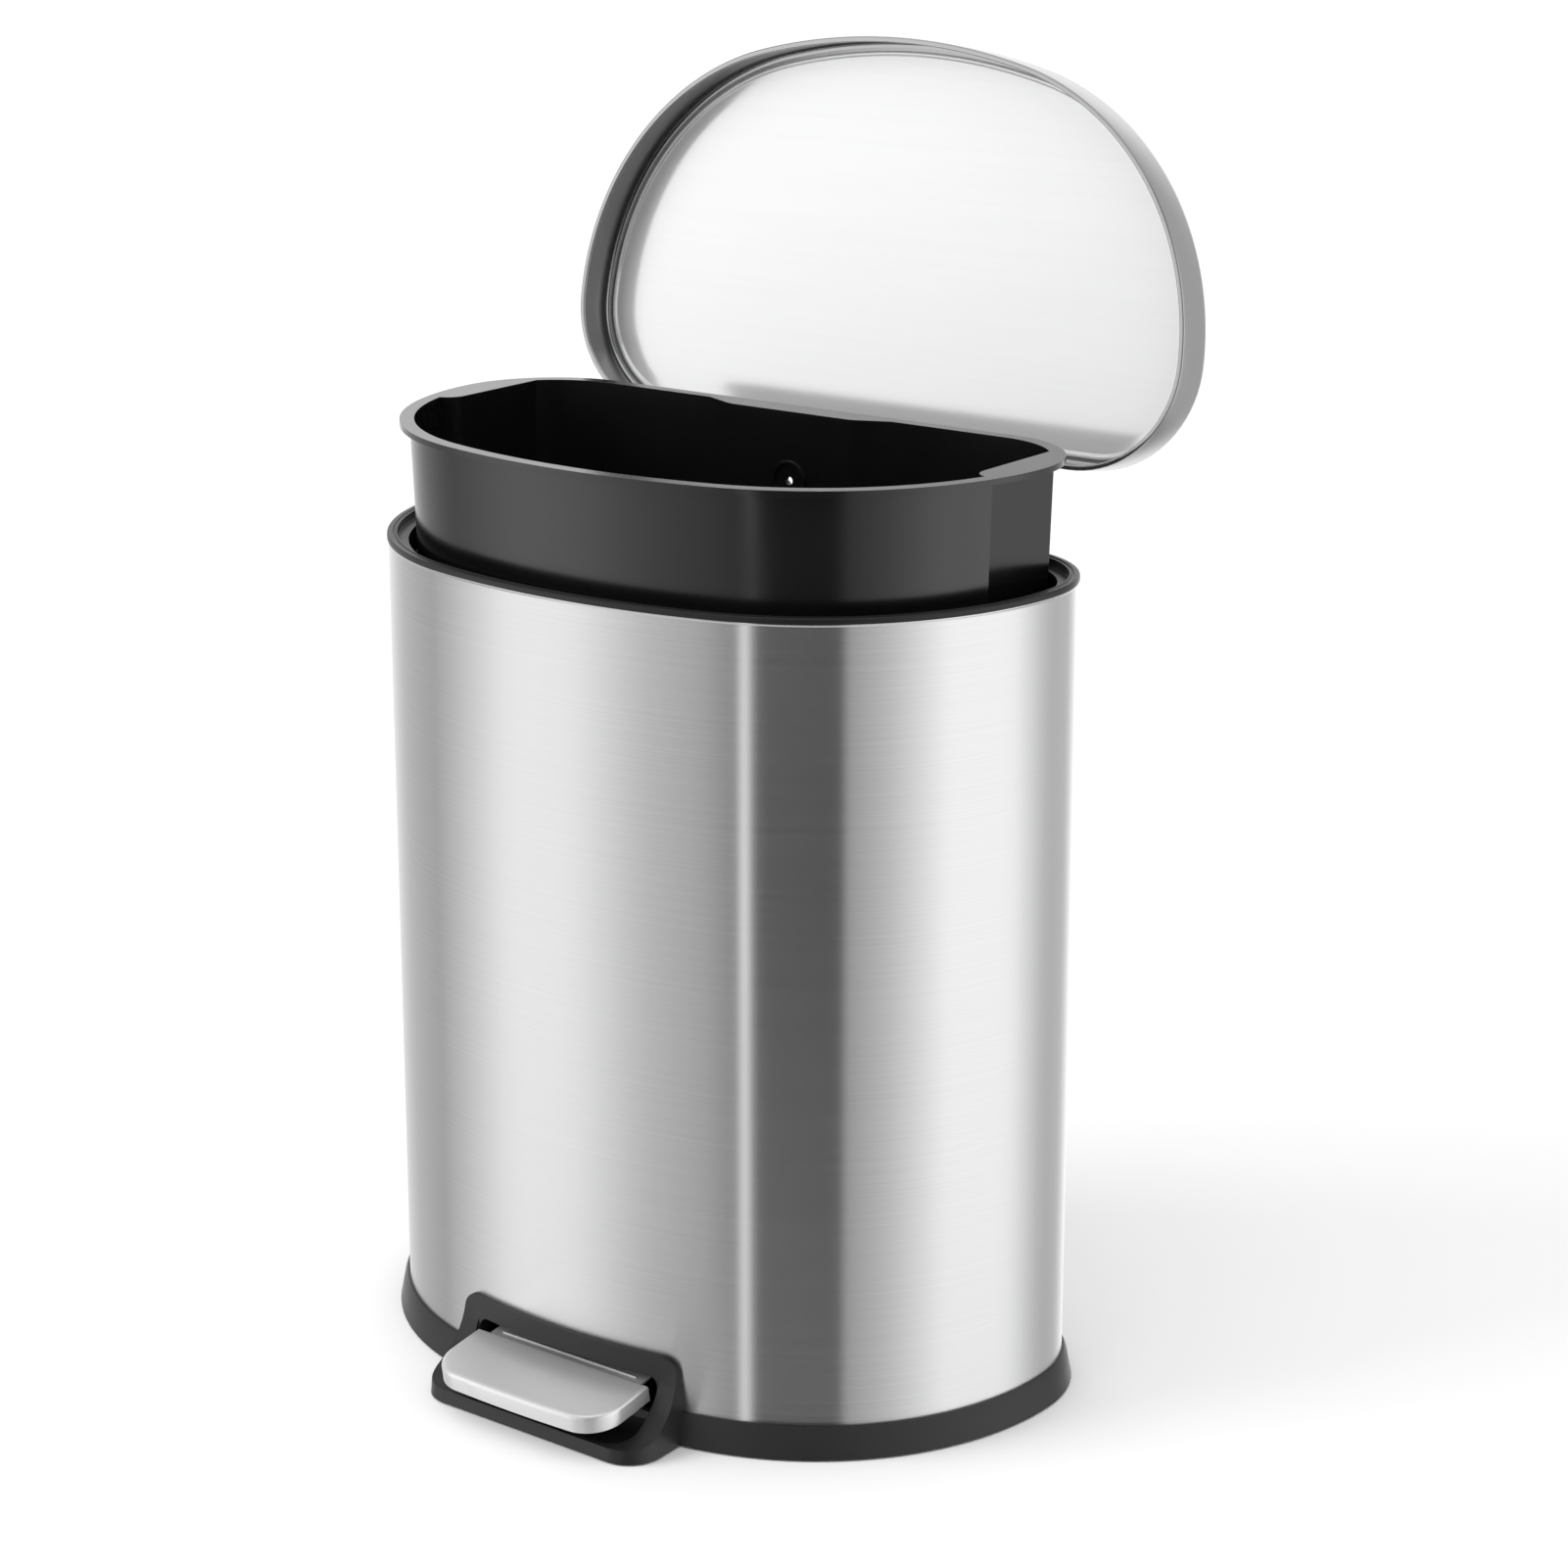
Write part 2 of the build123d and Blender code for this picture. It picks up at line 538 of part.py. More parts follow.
def rod_guides():
    """Plastic blocks that guide the rod."""
    blocks = []
    for z in GUIDE_HEIGHTS:
        inner = COVER_HALF - COVER_WALL - 0.1
        plan = Pos(0, BACK) * RectangleRounded(2 * inner, 2 * (COVER_BACK - COVER_WALL - BACK), 7)
        guide = Pos(0, 0, z - GUIDE_TALL / 2) * extrude(plan, GUIDE_TALL)
        guide -= block(-FAR, FAR, -FAR, BACK, 0, FAR)
        guide -= rod_z(ROD_R + 0.1, 0, 500, 0, ROD_Y)
        for x in (-GUIDE_SCREW_X, GUIDE_SCREW_X):
            guide -= rod_y(SMALL_SCREW_R, 60, BACK + 8, x, z)
            guide -= rod_y(SMALL_SCREW_R, COVER_BACK - 9, COVER_BACK, x, z)
        blocks.append(guide)
    return Compound(blocks)


def guide_screws():
    """Screws through the shell into the guides, from inside."""
    inside = BACK - STEEL
    screws = []
    for z in GUIDE_HEIGHTS:
        for x in (-GUIDE_SCREW_X, GUIDE_SCREW_X):
            head = rod_y(SCREW_HEAD_R, inside - 2, inside, x, z)
            screws.append(head + rod_y(SMALL_SCREW_R, inside, BACK + 8, x, z))
    return Compound(screws)


def cover_screws():
    """Screws through the rod cover into the guides, from behind."""
    screws = []
    for z in GUIDE_HEIGHTS:
        for x in (-GUIDE_SCREW_X, GUIDE_SCREW_X):
            shank = rod_y(SMALL_SCREW_R, COVER_BACK - 9, COVER_BACK, x, z)
            screws.append(shank + rod_y(3.3, COVER_BACK, COVER_BACK + 1.4, x, z))
    return Compound(screws)


def rod_cover():
    """Channel that covers the rod, from the base to the hinge housing."""
    deep = COVER_BACK - BACK
    outer_plan = Pos(0, COVER_BACK - deep) * RectangleRounded(2 * COVER_HALF, 2 * deep, 9)
    inner_plan = Pos(0, BACK) * RectangleRounded(2 * (COVER_HALF - COVER_WALL), 2 * (deep - COVER_WALL), 6.5)
    tall = HOUSING_BOTTOM - BASE_BOTTOM
    body = Pos(0, 0, BASE_BOTTOM) * extrude(outer_plan - inner_plan, tall)
    body += Pos(0, 0, BASE_BOTTOM) * extrude(outer_plan, COVER_WALL)
    body -= block(-FAR, FAR, -FAR, BACK, 0, FAR)
    body -= prism(0, SHOULDER_Z, BASE_FLARE + 0.2) + prism(SHOULDER_Z, BASE_TOP + 0.2, SHOULDER_OUT + 0.3)
    for z in GUIDE_HEIGHTS:
        for x in (-GUIDE_SCREW_X, GUIDE_SCREW_X):
            body -= rod_y(SMALL_SCREW_R, 90, 120, x, z)
    return body


# ---- hinge housing ------------------------------------------------------------------
LUG_IN, LUG_OUT = 43.0, 53.0
LUG_R = 8.0
CAP_LOW, CAP_HIGH = 434.0, 437.0


def housing_block(inset, low, high):
    """Outer or inner block of the housing: round rear corners and a tapered foot."""
    half, back = HOUSING_HALF - inset, HOUSING_BACK - inset
    deep = back - BACK
    plan = Pos(0, BACK) * RectangleRounded(2 * half, 2 * deep, 12 - inset)
    foot = COVER_HALF + 2 - inset
    right = [(foot, low), (half, HOUSING_WAIST), (half, high)]
    left = [(-x, z) for x, z in reversed(right)]
    body = Pos(0, 0, low) * extrude(plan, high - low)
    body &= front_prism(make_face(Polyline(*right, *left, close=True)), 0, FAR)
    return body - block(-FAR, FAR, -FAR, BACK, 0, FAR)


def hinge_housing():
    """Plastic housing behind the rim, with the two hinge lugs."""
    body = housing_block(0, HOUSING_BOTTOM, HOUSING_TOP)
    body -= housing_block(HOUSING_WALL, HOUSING_BOTTOM + HOUSING_WALL, HOUSING_TOP)
    plate_low = HOUSING_WAIST + 3
    body += block(-HOUSING_HALF + 4, HOUSING_HALF - 4, BACK, BACK + HOUSING_WALL, plate_low, HOUSING_TOP)
    body += block(-26, 26, BACK, BACK + HOUSING_WALL, HOUSING_BOTTOM, plate_low)
    inner = COVER_HALF - COVER_WALL
    body -= block(-inner, inner, BACK + HOUSING_WALL, COVER_BACK - COVER_WALL, 340, 360)
    lug = block(LUG_IN, LUG_OUT, HINGE_Y - LUG_R, HINGE_Y + LUG_R, CAP_LOW - 6, HINGE_Z)
    lug += rod_x(LUG_R, LUG_IN, LUG_OUT, HINGE_Y, HINGE_Z)
    gusset_back = HOUSING_BACK - HOUSING_WALL
    gusset = block(LUG_IN, LUG_OUT, HINGE_Y + LUG_R, gusset_back, CAP_LOW - 6, HOUSING_TOP - 1)
    body += lug + gusset + mirror(lug + gusset, Plane.YZ)
    body -= rod_x(HINGE_PIN_R, -60, 60, HINGE_Y, HINGE_Z)
    for x, z in HOUSING_SCREWS:
        body += rod_y(5, BACK, BACK + 9, x, z)
        body -= rod_y(SCREW_R, 60, BACK + 9, x, z)
    return body


def housing_cap():
    """Deck inside the top of the housing, open for the rod head and the crank."""
    edge = HOUSING_WALL + 0.1
    half, deep = HOUSING_HALF - edge, HOUSING_BACK - BACK - edge
    plan = Pos(0, BACK) * RectangleRounded(2 * half, 2 * deep, 12 - edge)
    body = Pos(0, 0, CAP_LOW) * extrude(plan, CAP_HIGH - CAP_LOW)
    body -= block(-FAR, FAR, -FAR, BACK + edge, 0, FAR)
    body -= block(-14, 32, 74, 100, 0, FAR)
    notch = block(LUG_IN - 0.2, FAR, HINGE_Y - LUG_R - 0.2, FAR, 0, FAR)
    return body - notch - mirror(notch, Plane.YZ)


def hinge_pins():
    """Two stub pins, pressed in the lugs."""
    pin = rod_x(HINGE_PIN_R, 26, LUG_OUT, HINGE_Y, HINGE_Z)
    pin += rod_x(4.8, LUG_OUT, LUG_OUT + 1.8, HINGE_Y, HINGE_Z)
    return Compound([pin, mirror(pin, Plane.YZ)])


def reinforcement_plate():
    """Steel plate inside the shell behind the hinge housing."""
    inside = BACK - STEEL
    plate = block(-45, 45, inside - 2, inside, 376, TRIM_SKIRT_LOW - 0.2)
    for x, z in HOUSING_SCREWS:
        plate -= rod_y(SCREW_R, *BACK_WALL, x, z)
    return plate


def housing_screws():
    """Screws from inside the shell into the hinge housing."""
    inside = BACK - STEEL - 2
    return Compound([
        rod_y(3.6, inside - 2.4, inside, x, z) + rod_y(SCREW_R, inside, BACK + 8, x, z)
        for x, z in HOUSING_SCREWS
    ])


DAMPER_LOW, DAMPER_HIGH = 372.0, 424.0
DAMPER_R, DAMPER_BORE, DAMPER_ROD_R = 8.0, 6.0, 2.0


def damper_cylinder():
    """Body of the soft-close damper."""
    body = rod_z(DAMPER_R, DAMPER_LOW, DAMPER_HIGH, DAMPER_X, DAMPER_Y)
    body -= rod_z(DAMPER_BORE, DAMPER_LOW + 3, DAMPER_HIGH - 3, DAMPER_X, DAMPER_Y)
    return body - rod_z(DAMPER_ROD_R + RUNNING, DAMPER_HIGH - 4, DAMPER_HIGH + 1, DAMPER_X, DAMPER_Y)


def damper_piston():
    """Piston and rod of the damper, carried by the head of the lift rod."""
    rod = rod_z(DAMPER_ROD_R, 413, HEAD_BOTTOM + 4, DAMPER_X, DAMPER_Y)
    return rod + rod_z(DAMPER_BORE - RUNNING, 409, 413, DAMPER_X, DAMPER_Y)


def damper_clamp():
    """Saddle that holds the damper to the housing."""
    front = BACK + HOUSING_WALL
    body = block(DAMPER_X - 11, DAMPER_X + 11, front, DAMPER_Y + 10, 396, 410)
    return body - rod_z(DAMPER_R, 0, FAR, DAMPER_X, DAMPER_Y)


# ---- lid ----------------------------------------------------------------------------
ARM_HALF = 40.0
ARM_LOW, ARM_HIGH = 451.5, 454.5
RIVETS = [(x, 462.0) for x in (-32.0, -12.0, 12.0, 32.0)]
LID_BACK = LID_REAR + LID_OFFSET


def lid_shell():
    """Pressed steel lid with a rolled rim."""
    top = LID_RIM_Z + LID_DEPTH
    outer = prism(LID_RIM_Z, top, LID_OFFSET, LID_REAR)
    outer = fillet(outer.edges().group_by(Axis.Z)[-1], 4.0)
    inner = prism(LID_RIM_Z, top - STEEL, LID_OFFSET - STEEL, LID_REAR)
    inner = fillet(inner.edges().group_by(Axis.Z)[-1], 4.0 - STEEL)
    hem = ring(LID_RIM_Z, LID_RIM_Z + 2.8, LID_OFFSET - STEEL / 2, LID_OFFSET - HEM, LID_REAR)
    body = outer - inner + hem
    for x, z in RIVETS:
        body -= rod_y(SCREW_R, 50, 70, x, z)
    return opened(body)


def lid_inner_panel():
    """Flat bright panel inside the lid."""
    under = LID_RIM_Z + LID_DEPTH - STEEL
    panel = prism(under - 0.6, under, -3.5, LID_REAR)
    bead = ring(under - 2.0, under - 0.6, -3.5, -5.3, LID_REAR)
    return opened(panel + bead)


def lid_hinge_arm():
    """Steel arm from the lid's back to the hinge, with the crank cheeks."""
    flange = block(-ARM_HALF, ARM_HALF, LID_BACK, LID_BACK + 2.5, ARM_LOW, 470)
    plate = block(-ARM_HALF, ARM_HALF, LID_BACK + 2.5, HINGE_Y, ARM_LOW, ARM_HIGH)
    plate -= block(-11, 11, 72, FAR, 0, FAR)
    barrel_r = 5.5
    barrel = rod_x(barrel_r, 7, ARM_HALF, HINGE_Y, HINGE_Z)
    barrel += block(11, ARM_HALF, HINGE_Y - 4, HINGE_Y, HINGE_Z, ARM_LOW)
    cheek_y = HINGE_Y - CRANK * cos(radians(CRANK_HALF_ANGLE))
    cheek_z = HINGE_Z - CRANK * sin(radians(CRANK_HALF_ANGLE))
    wide, narrow = 6.0, 5.0
    spread = degrees(atan2(wide - narrow, CRANK))
    along = CRANK_HALF_ANGLE
    tangents = []
    for side in (1, -1):
        angle = radians(along + side * (90 - spread))
        step = (-cos(angle), -sin(angle))
        tangents.append([(HINGE_Y + wide * step[0], HINGE_Z + wide * step[1]),
                         (cheek_y + narrow * step[0], cheek_z + narrow * step[1])])
    web = polygon_x([tangents[0][0], tangents[0][1], tangents[1][1], tangents[1][0]], 7, 10)
    cheek = web + rod_x(wide, 7, 10, HINGE_Y, HINGE_Z) + rod_x(narrow, 7, 10, cheek_y, cheek_z)
    side_arm = barrel + cheek
    body = flange + plate + side_arm + mirror(side_arm, Plane.YZ)
    for side in (-1, 1):
        x0, x1 = sorted((side * 25, side * 60))
        body -= rod_x(HINGE_PIN_R + RUNNING, x0, x1, HINGE_Y, HINGE_Z)
    body -= rod_x(CRANK_PIN_R, -20, 20, cheek_y, cheek_z)
    for x, z in RIVETS:
        body -= rod_y(SCREW_R, 50, 70, x, z)
    return opened(body)


def lid_rivets():
    """Rivets through the lid skirt and the arm."""
    rivets = []
    for x, z in RIVETS:
        rivet = rod_y(SCREW_R, LID_BACK - STEEL - 1, LID_BACK + 3.5, x, z)
        rivet += rod_y(3.6, LID_BACK - STEEL - 1, LID_BACK - STEEL, x, z)
        rivet += rod_y(4, LID_BACK + 2.5, LID_BACK + 3.7, x, z)
        rivets.append(opened(rivet))
    return Compound(rivets)


def crank_pin():
    """Pin across the crank cheeks, in the slot of the rod head."""
    return rod_x(CRANK_PIN_R, -12, 12, CRANK_Y, CRANK_Z)


# ---- bucket -------------------------------------------------------------------------
def bucket_block(inset, low, high):
    """Tapered block of the bucket, with the grip recesses and the back recess."""
    tall = BUCKET_HEIGHT
    bottom = BUCKET_TOP - tall
    slope = WALL_TAPER / tall
    low_inset = WALL_INSET + inset + slope * (BUCKET_TOP - low)
    high_inset = WALL_INSET + inset + slope * (BUCKET_TOP - high)
    body = frustum(low, -low_inset, high, -high_inset)
    grip_plan = Pos(GRIP_X - inset + 50, GRIP_FRONT - inset + 60) * RectangleRounded(100, 120, GRIP_CORNER)
    grip = Pos(0, 0, bottom - 5) * extrude(grip_plan, tall + 10)
    flat, edge, face = RECESS_HALF + inset, RECESS_HALF + RECESS_SLANT + inset, RECESS_Y - inset
    right = [(flat, face), (edge, face + RECESS_RUN), (edge, FAR)]
    left = [(-x, y) for x, y in reversed(right)]
    recess_plan = make_face(Polyline(*right, *left, close=True))
    recess_plan = fillet(recess_plan.vertices().group_by(Axis.Y)[0], 18)
    recess = Pos(0, 0, bottom - 5) * extrude(recess_plan, tall + 10)
    return body - grip - mirror(grip, Plane.YZ) - recess


def inner_bucket():
    """Plastic bucket with a flange, grip recesses and a vent."""
    bottom = BUCKET_TOP - BUCKET_HEIGHT
    wall = bucket_block(0, bottom, BUCKET_TOP)
    flange = prism(BUCKET_TOP - FLANGE_THICK, BUCKET_TOP, -FLANGE_INSET)
    cavity = bucket_block(BUCKET_WALL, bottom + 3, BUCKET_TOP)
    body = wall + flange - cavity
    vent_z = BUCKET_TOP - VENT_DROP
    face = RECESS_Y - BUCKET_WALL
    body += rod_y(11, face - 1.2, face + 0.5, 0, vent_z) - rod_y(9.4, face - 2, face + 2, 0, vent_z)
    body -= rod_y(VENT_HOLE_R, 30, 60, 0, vent_z)
    return body


NODES = {
    "outer_shell": outer_shell, "top_trim_ring": top_trim_ring, "base_ring": base_ring,
    "base_plate": base_plate, "rubber_foot": rubber_foot, "base_screws": base_screws,
    "pedal_bracket": pedal_bracket, "bracket_rivets": bracket_rivets, "pedal_axle": pedal_axle,
    "axle_clips": axle_clips, "pedal_stop": pedal_stop, "rod_guides": rod_guides,
    "guide_screws": guide_screws, "rod_cover": rod_cover, "cover_screws": cover_screws,
    "hinge_housing": hinge_housing, "housing_cap": housing_cap, "hinge_pins": hinge_pins,
    "reinforcement_plate": reinforcement_plate, "housing_screws": housing_screws,
    "damper_cylinder": damper_cylinder, "damper_clamp": damper_clamp,
    "lid_shell": lid_shell, "lid_inner_panel": lid_inner_panel, "lid_hinge_arm": lid_hinge_arm,
    "lid_rivets": lid_rivets, "crank_pin": crank_pin,
    "pedal_lever": pedal_lever, "pedal_pad_cover": pedal_pad_cover,
    "pedal_pad_core": pedal_pad_core, "pad_screws": pad_screws,
    "lift_rod": lift_rod, "rod_eye": rod_eye, "rod_head": rod_head, "rod_pin": rod_pin,
    "damper_piston": damper_piston, "inner_bucket": inner_bucket,
}

os.makedirs("parts", exist_ok=True)
for node, make in NODES.items():
    export_step(make(), f"parts/{node}.step")
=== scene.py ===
"""Looks of a semi-round pedal trash can: steel shell, moulded base, pedal, lid and bucket.

All lengths are metres in the shared frame: +Z up, pedal at -Y, hinge at +Y, floor at z = 0.
"""

import logging
import math
from dataclasses import dataclass, field
from enum import Enum
from typing import Callable, Sequence

import bmesh
import bpy
from mathutils import Matrix, Vector


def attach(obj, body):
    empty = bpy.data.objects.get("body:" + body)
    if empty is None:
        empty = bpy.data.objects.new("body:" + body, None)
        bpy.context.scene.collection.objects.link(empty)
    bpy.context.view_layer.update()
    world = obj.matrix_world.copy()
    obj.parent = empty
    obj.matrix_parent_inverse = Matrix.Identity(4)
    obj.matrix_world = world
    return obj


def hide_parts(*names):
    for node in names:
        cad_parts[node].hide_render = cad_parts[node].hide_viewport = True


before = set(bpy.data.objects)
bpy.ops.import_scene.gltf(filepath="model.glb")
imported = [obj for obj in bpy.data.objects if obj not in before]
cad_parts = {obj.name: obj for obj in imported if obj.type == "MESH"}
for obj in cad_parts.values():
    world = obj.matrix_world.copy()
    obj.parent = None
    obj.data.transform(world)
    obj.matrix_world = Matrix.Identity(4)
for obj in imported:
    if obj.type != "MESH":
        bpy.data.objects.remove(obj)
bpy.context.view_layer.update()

MM = 0.001
MERGE = 0.00001         # points closer than this become one
FLAT = math.radians(0.4)  # faces that turn less than this are joined
SWEEP_SHARP = 38.0      # degrees; sharper edges of swept pieces stay crisp
LOG = logging.getLogger("pedal_can")

Colour = tuple[float, float, float]
Corner = tuple[float, float, float]      # outline offset, height, corner radius
Station = tuple[float, float, float, float]
Keep = Callable[[Vector], bool]


class Body(Enum):
    """Moving bodies of the can."""

    CAN = "can"
    LID = "lid"
    PEDAL = "pedal"
    ROD = "lift_rod"
    BUCKET = "bucket"


class Slot(Enum):
    """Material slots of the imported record."""

    SHELL = "steel_shell"
    LID = "steel_lid"
    PANEL = "bright_panel"
    TRIM = "black_trim"
    BASE = "base_plastic"
    BUCKET = "bucket_plastic"
    FOOT = "foot_rubber"
    PAD = "pad_metal"
    BRACKET = "bracket_steel"
    BOLT = "bolt_steel"
    DAMPER = "damper_body"
    CORE = "core_plastic"


class Brushing(Enum):
    """Fineness of the brushed lines along x, y and z, in lines per metre."""

    LEVEL = (5.0, 5.0, 1900.0)
    LID = (5.0, 1900.0, 40.0)
    PAD = (14.0, 2400.0, 2400.0)
    ALL_WAYS = (700.0, 700.0, 700.0)


# ---- finishes -----------------------------------------------------------------------
class NodeSheet:
    """Adds and joins the shader nodes of one material."""

    def __init__(self, name: str) -> None:
        """Start a material with one principled shader.

        Args:
            name: name of the material.
        """
        self.material = bpy.data.materials.new(name)
        self.material.use_nodes = True
        self.tree = self.material.node_tree
        self.shader = self.tree.nodes["Principled BSDF"]
        self.coordinates = self.tree.nodes.new("ShaderNodeTexCoord").outputs["Object"]

    def node(self, kind: str, inputs: dict[str, object], **settings: object) -> bpy.types.Node:
        """Add one node.

        Args:
            kind: node type.
            inputs: socket name to a value, or to the output that feeds it.
            settings: other properties of the node.

        Returns:
            The new node.
        """
        made = self.tree.nodes.new(kind)
        for key, value in settings.items():
            setattr(made, key, value)
        for key, value in inputs.items():
            if isinstance(value, bpy.types.NodeSocket):
                self.tree.links.new(value, made.inputs[key])
            else:
                made.inputs[key].default_value = value
        return made

    def noise(self, scale: Sequence[float], detail: float = 3.0) -> bpy.types.NodeSocket:
        """Noise stretched by a scale for each axis, as a value from 0 to 1."""
        mapped = self.node("ShaderNodeMapping", {"Vector": self.coordinates, "Scale": tuple(scale)})
        inputs = {"Vector": mapped.outputs["Vector"], "Scale": 1.0, "Detail": detail}
        return self.node("ShaderNodeTexNoise", inputs).outputs["Fac"]

    def spread(self, value: bpy.types.NodeSocket, low: float, high: float) -> bpy.types.NodeSocket:
        """Map the middle of a noise to the range from low to high."""
        inputs = {"Value": value, "From Min": 0.3, "From Max": 0.7, "To Min": low, "To Max": high}
        return self.node("ShaderNodeMapRange", inputs).outputs["Result"]

    def tint(self, factor: bpy.types.NodeSocket, tone: Colour, depth: float) -> bpy.types.NodeSocket:
        """Vary a colour by a share of itself.

        Args:
            factor: noise that drives the change.
            tone: middle colour.
            depth: share of the colour taken off and added.

        Returns:
            The colour's socket.
        """
        made = self.node("ShaderNodeMix", {}, data_type="RGBA")
        self.tree.links.new(self.spread(factor, 0.0, 1.0), made.inputs[0])
        made.inputs[6].default_value = (*(c * (1 - depth) for c in tone), 1.0)
        made.inputs[7].default_value = (*(min(1.0, c * (1 + depth)) for c in tone), 1.0)
        return made.outputs[2]

    def feed(self, **inputs: object) -> None:
        """Set or link the shader's own sockets, written with underscores for spaces."""
        for key, value in inputs.items():
            socket = self.shader.inputs[key.replace("_", " ")]
            if isinstance(value, bpy.types.NodeSocket):
                self.tree.links.new(value, socket)
            else:
                socket.default_value = value

    def bump(self, height: bpy.types.NodeSocket, strength: float, distance: float) -> None:
        """Raise the surface by a height value."""
        inputs = {"Height": height, "Strength": strength, "Distance": distance}
        self.feed(Normal=self.node("ShaderNodeBump", inputs).outputs["Normal"])


@dataclass(frozen=True)
class BrushedSteel:
    """Sheet steel with fine brushed lines and faint handling marks."""

    name: str
    slot: Slot
    tone: Colour = (0.62, 0.62, 0.625)
    roughness: float = 0.2
    lines: Brushing = Brushing.LEVEL
    anisotropy: float = 0.0
    depth: float = 0.03
    relief: float = 0.03
    metal: float = 1.0

    def material(self) -> bpy.types.Material:
        """Build the steel's material."""
        sheet = NodeSheet(self.name)
        streaks = sheet.noise(self.lines.value, 5.0)
        marks = sheet.noise((7.0, 7.0, 5.0), 2.0)
        blend = {"Factor": 0.3, "A": streaks, "B": marks}
        both = sheet.node("ShaderNodeMix", blend, data_type="FLOAT").outputs[0]
        sheet.feed(
            Base_Color=sheet.tint(streaks, self.tone, self.depth),
            Metallic=self.metal,
            Roughness=sheet.spread(both, self.roughness - 0.015, self.roughness + 0.02),
            Anisotropic=self.anisotropy,
        )
        if self.anisotropy:
            tangent = sheet.node("ShaderNodeTangent", {}, direction_type="RADIAL", axis="Z")
            sheet.feed(Tangent=tangent.outputs["Tangent"], Anisotropic_Rotation=0.25)
        sheet.bump(streaks, self.relief, 0.00004)
        return sheet.material


@dataclass(frozen=True)
class MouldedPlastic:
    """Injection-moulded plastic with a spark-eroded grain."""

    name: str
    slot: Slot
    tone: Colour = (0.03, 0.03, 0.032)
    roughness: float = 0.42
    grain: float = 1500.0
    relief: float = 0.12
    sheen: float = 0.5

    def material(self) -> bpy.types.Material:
        """Build the plastic's material."""
        sheet = NodeSheet(self.name)
        grain = sheet.noise((self.grain,) * 3, 2.0)
        flow = sheet.noise((9.0, 9.0, 9.0), 3.0)
        sheet.feed(
            Base_Color=sheet.tint(flow, self.tone, 0.12),
            Roughness=sheet.spread(flow, self.roughness - 0.04, self.roughness + 0.05),
            Specular_IOR_Level=self.sheen,
        )
        sheet.bump(grain, self.relief, 0.0001)
        return sheet.material


@dataclass(frozen=True)
class PlatedSteel:
    """Zinc-plated steel of brackets, rods and screws."""

    name: str
    slot: Slot
    tone: Colour = (0.55, 0.56, 0.57)
    roughness: float = 0.3

    def material(self) -> bpy.types.Material:
        """Build the plating's material."""
        sheet = NodeSheet(self.name)
        patches = sheet.noise((260.0, 260.0, 260.0), 4.0)
        sheet.feed(
            Base_Color=sheet.tint(patches, self.tone, 0.1),
            Metallic=1.0,
            Roughness=sheet.spread(patches, self.roughness - 0.06, self.roughness + 0.08),
        )
        sheet.bump(patches, 0.05, 0.0001)
        return sheet.material


SHELL_STEEL = BrushedSteel("brushed_shell_steel", Slot.SHELL, roughness=0.24, anisotropy=1.0)
# Painted shade: the lid's steel is a darker copy of the shell steel (tone .42 against .62), so the lid and
# its skirt read duller than the shell.
LID_STEEL_WITH_PAINTED_SHADE = BrushedSteel("lid_steel_painted_shade", Slot.LID, (0.42, 0.42, 0.425), 0.24, Brushing.LID)
PANEL_STEEL = BrushedSteel(
    "bright_panel_steel", Slot.PANEL, (0.70, 0.70, 0.705), 0.13, Brushing.LID,
    depth=0.01, relief=0.01, metal=0.45,
)
PAD_STEEL = BrushedSteel(
    "satin_pad_metal", Slot.PAD, (0.70, 0.70, 0.705), 0.34, Brushing.PAD,
    depth=0.02, relief=0.02, metal=0.7,
)
TRIM_PLASTIC = MouldedPlastic("black_trim_plastic", Slot.TRIM, (0.010, 0.010, 0.011), 0.34, sheen=0.3)
BASE_PLASTIC = MouldedPlastic("dark_base_plastic", Slot.BASE, (0.017, 0.017, 0.018), 0.36, sheen=0.3)
BUCKET_PLASTIC = MouldedPlastic(
    "satin_bucket_plastic", Slot.BUCKET, (0.004, 0.004, 0.0045), 0.2, 900.0, 0.03, 0.65,
)
CORE_PLASTIC = MouldedPlastic("plain_core_plastic", Slot.CORE, (0.05, 0.05, 0.05), 0.5)
DAMPER_PAINT = MouldedPlastic("damper_paint", Slot.DAMPER, (0.06, 0.06, 0.065), 0.28, 400.0, 0.03)
FOOT_RUBBER = MouldedPlastic("matt_foot_rubber", Slot.FOOT, (0.018, 0.018, 0.018), 0.75, 700.0, 0.25, 0.3)
BRACKET_STEEL = PlatedSteel("plated_bracket_steel", Slot.BRACKET)
BOLT_STEEL = PlatedSteel("plated_bolt_steel", Slot.BOLT, (0.6, 0.6, 0.61), 0.24)

Finish = BrushedSteel | MouldedPlastic | PlatedSteel
_made: dict[str, bpy.types.Material] = {}


def paint(piece: bpy.types.Object, finish: Finish) -> None:
    """Give a piece its finish.

    Args:
        piece: the object to dress.
        finish: the finish; its material is built once.
    """
    if finish.name not in _made:
        _made[finish.name] = finish.material()
    piece.data.materials.clear()
    piece.data.materials.append(_made[finish.name])


